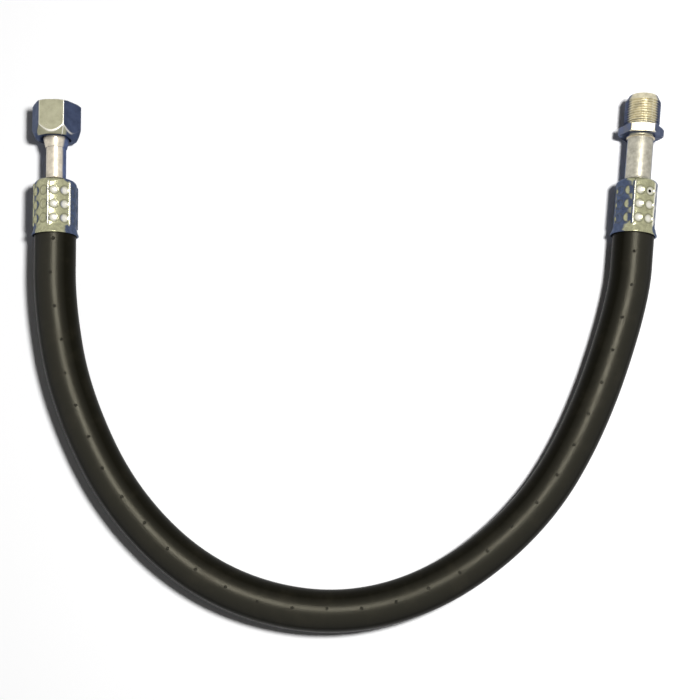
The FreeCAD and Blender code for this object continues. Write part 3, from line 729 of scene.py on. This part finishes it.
# Swivel nut
# A 24 mm hexagon nut, M20 x 1.5, turned from hexagon bar and zinc-plated, with a long tapered back and a
# bevelled front. Each corner is sampled more finely than the flats, because that is where the edges round off.
FLAT_ANGLE = 60.0
HALF_FLAT = 30.0
CORNER_STEPS = [0.0, 0.5, 1.0, 1.6, 2.4, 3.5, 5.0, 7.5, 11.0, 15.0, 20.0, 25.0]
flat_middles = [FLAT_ANGLE * side for side in range(6)]
from_middles = [sign * (HALF_FLAT - step) for step in CORNER_STEPS for sign in (-1, 1)] + [0.0]
hex_angles = sorted({(middle + turn) % 360 for middle in flat_middles for turn in from_middles})

# The bar: the turned blank is cut back to the hexagon, and its edges are rounded and worn, as tumbling and
# handling leave them. The wear is marked, and the material paints it light where it faces the light: a painted
# highlight.
WORN_GLINT_WIDTH = 0.0004
BAR_DEPTH = 0.0015
tree, sizes = new_tree("hexagon_bar", Flats=24.0 * MM, Edge=0.25 * MM)
spot, across, radius = from_axis()
turn = calc("DEGREES", calc("ARCTAN2", spot[1], spot[0]))
from_flat = calc("PINGPONG", turn, HALF_FLAT)
half = calc("DIVIDE", sizes["Flats"], 2.0)
flat = calc("DIVIDE", half, calc("COSINE", calc("RADIANS", from_flat)))
from_next = calc("SUBTRACT", FLAT_ANGLE, from_flat)
next_flat = calc("DIVIDE", half, calc("COSINE", calc("RADIANS", from_next)))
bar = calc("SMOOTH_MIN", flat, next_flat, sizes["Edge"])
cut = calc("SMOOTH_MIN", radius, bar, sizes["Edge"])
to_bevel = calc("ABSOLUTE", calc("SUBTRACT", radius, bar))
to_corner = calc("MULTIPLY", calc("RADIANS", calc("SUBTRACT", HALF_FLAT, from_flat)), bar)
to_edge = calc("MINIMUM", to_bevel, to_corner)
# Painted highlight: a band along each edge, marked for the material to paint light.
nearness = add(tree, "ShaderNodeMapRange", [to_edge, 0.0, WORN_GLINT_WIDTH, 1.0, 0.0])
on_bar = calc("GREATER_THAN", radius, calc("SUBTRACT", half, BAR_DEPTH))
marked = mark(sizes["Geometry"], "edge", calc("MULTIPLY", nearness, on_bar))
pull = vector("SCALE", across, Scale=calc("SUBTRACT", calc("DIVIDE", cut, radius), 1.0))
barred = add(tree, "GeometryNodeSetPosition", {"Geometry": marked, "Offset": pull})
finish_tree(barred, tube_steel_left)
hexagon_tree = tree

# The thread: where its helix passes, the surface is cut to the 60 degree profile. A nut's thread has its root
# outside its crest, and a male thread inside it. Both are right-handed. The crest's flat is an eighth of the
# pitch wide, and the root's a quarter.
HALF_CREST = 1 / 16
ROOT_EDGE = 0.375
tree, sizes = new_tree(
    "cut_thread",
    Crest=9.19 * MM,
    Root=10.05 * MM,
    Pitch=1.5 * MM,
    Start=64.0 * MM,
    End=76.5 * MM,
    Metal="Material",
)
spot, across, radius = from_axis()
part_turn = calc("DIVIDE", calc("ARCTAN2", spot[1], spot[0]), 2 * math.pi)
helix = calc("SUBTRACT", spot[2], calc("MULTIPLY", part_turn, sizes["Pitch"]))
from_crest = calc("PINGPONG", helix, calc("DIVIDE", sizes["Pitch"], 2.0))
crest_edge = calc("MULTIPLY", sizes["Pitch"], HALF_CREST)
root_edge = calc("MULTIPLY", sizes["Pitch"], ROOT_EDGE)
groove = add(
    tree,
    "ShaderNodeMapRange",
    [from_crest, crest_edge, root_edge, sizes["Crest"], sizes["Root"]],
)
inward = calc("SIGN", calc("SUBTRACT", sizes["Root"], sizes["Crest"]))
kept = calc("MAXIMUM", calc("MULTIPLY", inward, radius), calc("MULTIPLY", inward, groove.outputs[0]))
after_start = calc("GREATER_THAN", spot[2], sizes["Start"])
before_end = calc("LESS_THAN", spot[2], sizes["End"])
cut_share = calc("SUBTRACT", calc("DIVIDE", calc("MULTIPLY", kept, inward), radius), 1.0)
pull = vector("SCALE", across, Scale=calc("MULTIPLY", cut_share, calc("MULTIPLY", after_start, before_end)))
threaded = add(tree, "GeometryNodeSetPosition", {"Geometry": sizes["Geometry"], "Offset": pull})
real = add(tree, "GeometryNodeRealizeInstances", [threaded])
add(tree, "NodeGroupOutput", [add(tree, "GeometryNodeSetMaterial", [real, None, sizes["Metal"]])])
thread_tree = tree

THREAD_STEP = 1.5 / 14
HEXAGON_CREASE = 35


def sloped(start, end, step):
    """Points of a straight line of the profile after its start, about step mm apart."""
    length = (Vector(end) - Vector(start)).length
    shares = [along / length for along in steps(0.0, length, step)[1:]]
    return [tuple(Vector(start).lerp(Vector(end), share)) for share in shares]


nut_profile = (
    [(11.2, 56.5), (11.35, 56.6)]
    + sloped((11.35, 56.6), (14.2, 62.44), 0.16)
    + [(14.2, 75.25)]
    + sloped((14.2, 75.25), (12.9, 76.0), 0.12)
    + [(12.7, 76.12), (10.4, 76.0)]
    + sloped((10.4, 76.0), (9.19, 74.79), THREAD_STEP)
    + [(9.19, along) for along in steps(74.79, 65.43, THREAD_STEP)[1:]]
    + [(10.2, 64.42), (10.2, 62.62), (7.18, 59.6), (7.18, 57.6), (8.28, 56.5)]
)
# Its top and flank colours are a painted reflection: olive facing up, blue towards the sides.
nut_steel = plated_steel(
    "zinc_plated_hexagon_bar",
    FEMALE_END,
    top="#9B9982",
    flank="#434C64",
    facing=(0.66, 0.78),
    roughness=0.32,
    mottle=5.0,
)
nut = turned("nut", nut_profile, hex_angles)
shaped(nut, hexagon_tree)
shaped(nut, thread_tree, Metal=nut_steel)
shade(nut, HEXAGON_CREASE)
placed(nut, FEMALE_END, "nut", "swivel_nut", nut_steel, roll=2.6)

# Male connector
# A turned steel fitting, zinc-plated and brazed to its tube. It is M20 x 1.5, with a 24 degree seat in its nose
# and a thin 22 mm hexagon.
# Its top and flank colours are a painted reflection: olive facing up, blue towards the sides.
connector_steel = plated_steel(
    "zinc_plated_turned_steel",
    MALE_END,
    top="#D8D0B4",
    flank="#5A6176",
    facing=(0.5, 0.72),
    lean=12.0,
    roughness=0.42,
    mottle=3.0,
    marks=0.006,
)
connector_profile = (
    [(7.28, 57.3), (7.9, 57.3), (8.0, 57.4), (8.0, 58.4), (11.9, 58.4)]
    + sloped((11.9, 58.4), (13.0, 59.04), 0.1)
    + [(13.0, 62.46)]
    + sloped((13.0, 62.46), (11.9, 63.1), 0.1)
    + [(9.1, 63.1), (9.1, 64.4)]
    + sloped((9.1, 64.4), (9.97, 65.27), THREAD_STEP)
    + [(9.97, along) for along in steps(65.27, 78.0, THREAD_STEP)[1:]]
    + sloped((9.97, 78.0), (8.0, 81.8), 0.12)
    + [(7.85, 81.9), (7.2, 81.8), (7.1, 81.7), (6.05, 76.625), (6.05, 70.425), (4.5, 70.425), (4.5, 61.6)]
    + [(7.28, 61.6)]
)
connector = turned("connector", connector_profile, hex_angles)
shaped(connector, hexagon_tree, Flats=22.0 * MM)
shaped(
    connector,
    thread_tree,
    Crest=9.97 * MM,
    Root=9.05 * MM,
    Start=64.2 * MM,
    End=78.2 * MM,
    Metal=connector_steel,
)
shade(connector, HEXAGON_CREASE)
placed(connector, MALE_END, "hose", "male_connector", connector_steel, roll=-10.6)

# Braze fillet
# Copper-zinc braze, drawn into a small hollow fillet between the tube and the connector's ring. It is dull
# yellow, with paler blotches where the flux was brushed off.
braze, tree, shader = new_material("brass_braze", Metallic=1.0, Roughness=0.35)
blotch = add(
    tree,
    "ShaderNodeTexNoise",
    {"Vector": add(tree, "ShaderNodeTexCoord").outputs["Object"], "Scale": 900.0, "Detail": 4.0},
)
tree.links.new(blend(tree, blotch, "#C9BEA4", "#A69B84"), shader.inputs["Base Color"])
hollow = [(7.28, 56.55), (7.33, 56.75), (7.48, 57.05), (7.78, 57.2), (7.98, 57.25), (7.28, 57.25)]
fillet = turned("fillet", hollow, ROUND)
placed(fillet, MALE_END, "hose", "braze_fillet", braze)

# Table and light
# A white table, seen from a little in front of overhead. A small key stands on the right at the camera's
# height, a panel overhead shows only in reflections, and a little light comes from all round.
MIDDLE = Vector((0.0, -0.1, 0.0))
CLEAR_WITHIN = 0.45
WHITE_BEYOND = 1.0
KEY_STRENGTH = 45.0
FILL_STRENGTH = 0.07

camera = new_object("camera", bpy.data.cameras.new("camera"))
camera.location = (0.00155, -0.16075, 0.542)
camera.rotation_euler = (math.radians(6.0), 0.0, 0.0)
camera.data.lens = 48.86
camera.data.sensor_width = 36.0
bpy.context.scene.camera = camera


def in_view(tree):
    """1 for the rays that show a surface, straight, mirrored or through glass, and 0 for those that light."""
    seen = add(tree, "ShaderNodeLightPath").outputs
    rays = [seen["Is Camera Ray"], seen["Is Glossy Ray"]]
    straight_on = add(tree, "ShaderNodeMath", rays, operation="MAXIMUM")
    return add(tree, "ShaderNodeMath", [straight_on, seen["Is Transmission Ray"]], operation="MAXIMUM")


# The table: matt white, and pure white in view from where it runs off towards the horizon.
white, tree, shader = new_material("white_table", Roughness=0.9, Specular_IOR_Level=0.1)
shader.inputs["Base Color"].default_value = linear("#FDFDFD")
place = add(tree, "ShaderNodeTexCoord").outputs["Object"]
distance = add(tree, "ShaderNodeVectorMath", [place], operation="LENGTH").outputs["Value"]
far_off = add(tree, "ShaderNodeMapRange", [distance, CLEAR_WITHIN, WHITE_BEYOND, 0.0, 1.0])
blank = add(tree, "ShaderNodeMath", [far_off, in_view(tree)], operation="MULTIPLY")
glow = add(tree, "ShaderNodeEmission", [linear("#FFFFFF"), 1.0])
faded = add(tree, "ShaderNodeMixShader", [blank, shader.outputs[0], glow])
tree.links.new(faded.outputs[0], tree.nodes["Material Output"].inputs["Surface"])
work = bmesh.new()
bmesh.ops.create_grid(work, x_segments=1, y_segments=1, size=3.0)
floor_mesh = bpy.data.meshes.new("floor")
work.to_mesh(floor_mesh)
work.free()
new_object("floor", floor_mesh, white)

# The key gives the shadows and lights the rubber and the table, with the same strength at any distance, so that
# the table stays even.
key = new_object("key", bpy.data.lights.new("key", "POINT"))
key.location = (0.19, -0.05, 0.6)
key.visible_glossy = False
key.data.shadow_soft_size = 0.05
key.data.energy = 1.0
key.data.use_nodes = True
tree = key.data.node_tree
even = add(tree, "ShaderNodeLightFalloff", {"Strength": KEY_STRENGTH})
tree.links.new(even.outputs["Constant"], tree.nodes["Emission"].inputs["Strength"])

# The panel is what the metal and the satin cover reflect.
panel = new_object("panel", bpy.data.lights.new("panel", "AREA"))
panel.location = (0.11, 0.2, 1.44)
panel.rotation_euler = (MIDDLE - panel.location).to_track_quat("-Z", "Y").to_euler()
panel.visible_diffuse = False
panel.data.size = 0.4
panel.data.energy = 11.0
panel.data.color = linear("#FFFDF6")[:3]

# The world is white in view, and lights the object only faintly.
world = bpy.data.worlds.new("studio")
bpy.context.scene.world = world
world.use_nodes = True
tree = world.node_tree
strength = add(tree, "ShaderNodeMapRange", [in_view(tree), 0.0, 1.0, FILL_STRENGTH, 1.0])
tree.nodes["Background"].inputs[0].default_value = linear("#FFFFFF")
tree.links.new(strength.outputs[0], tree.nodes["Background"].inputs[1])
bpy.context.scene.view_settings.view_transform = "Standard"
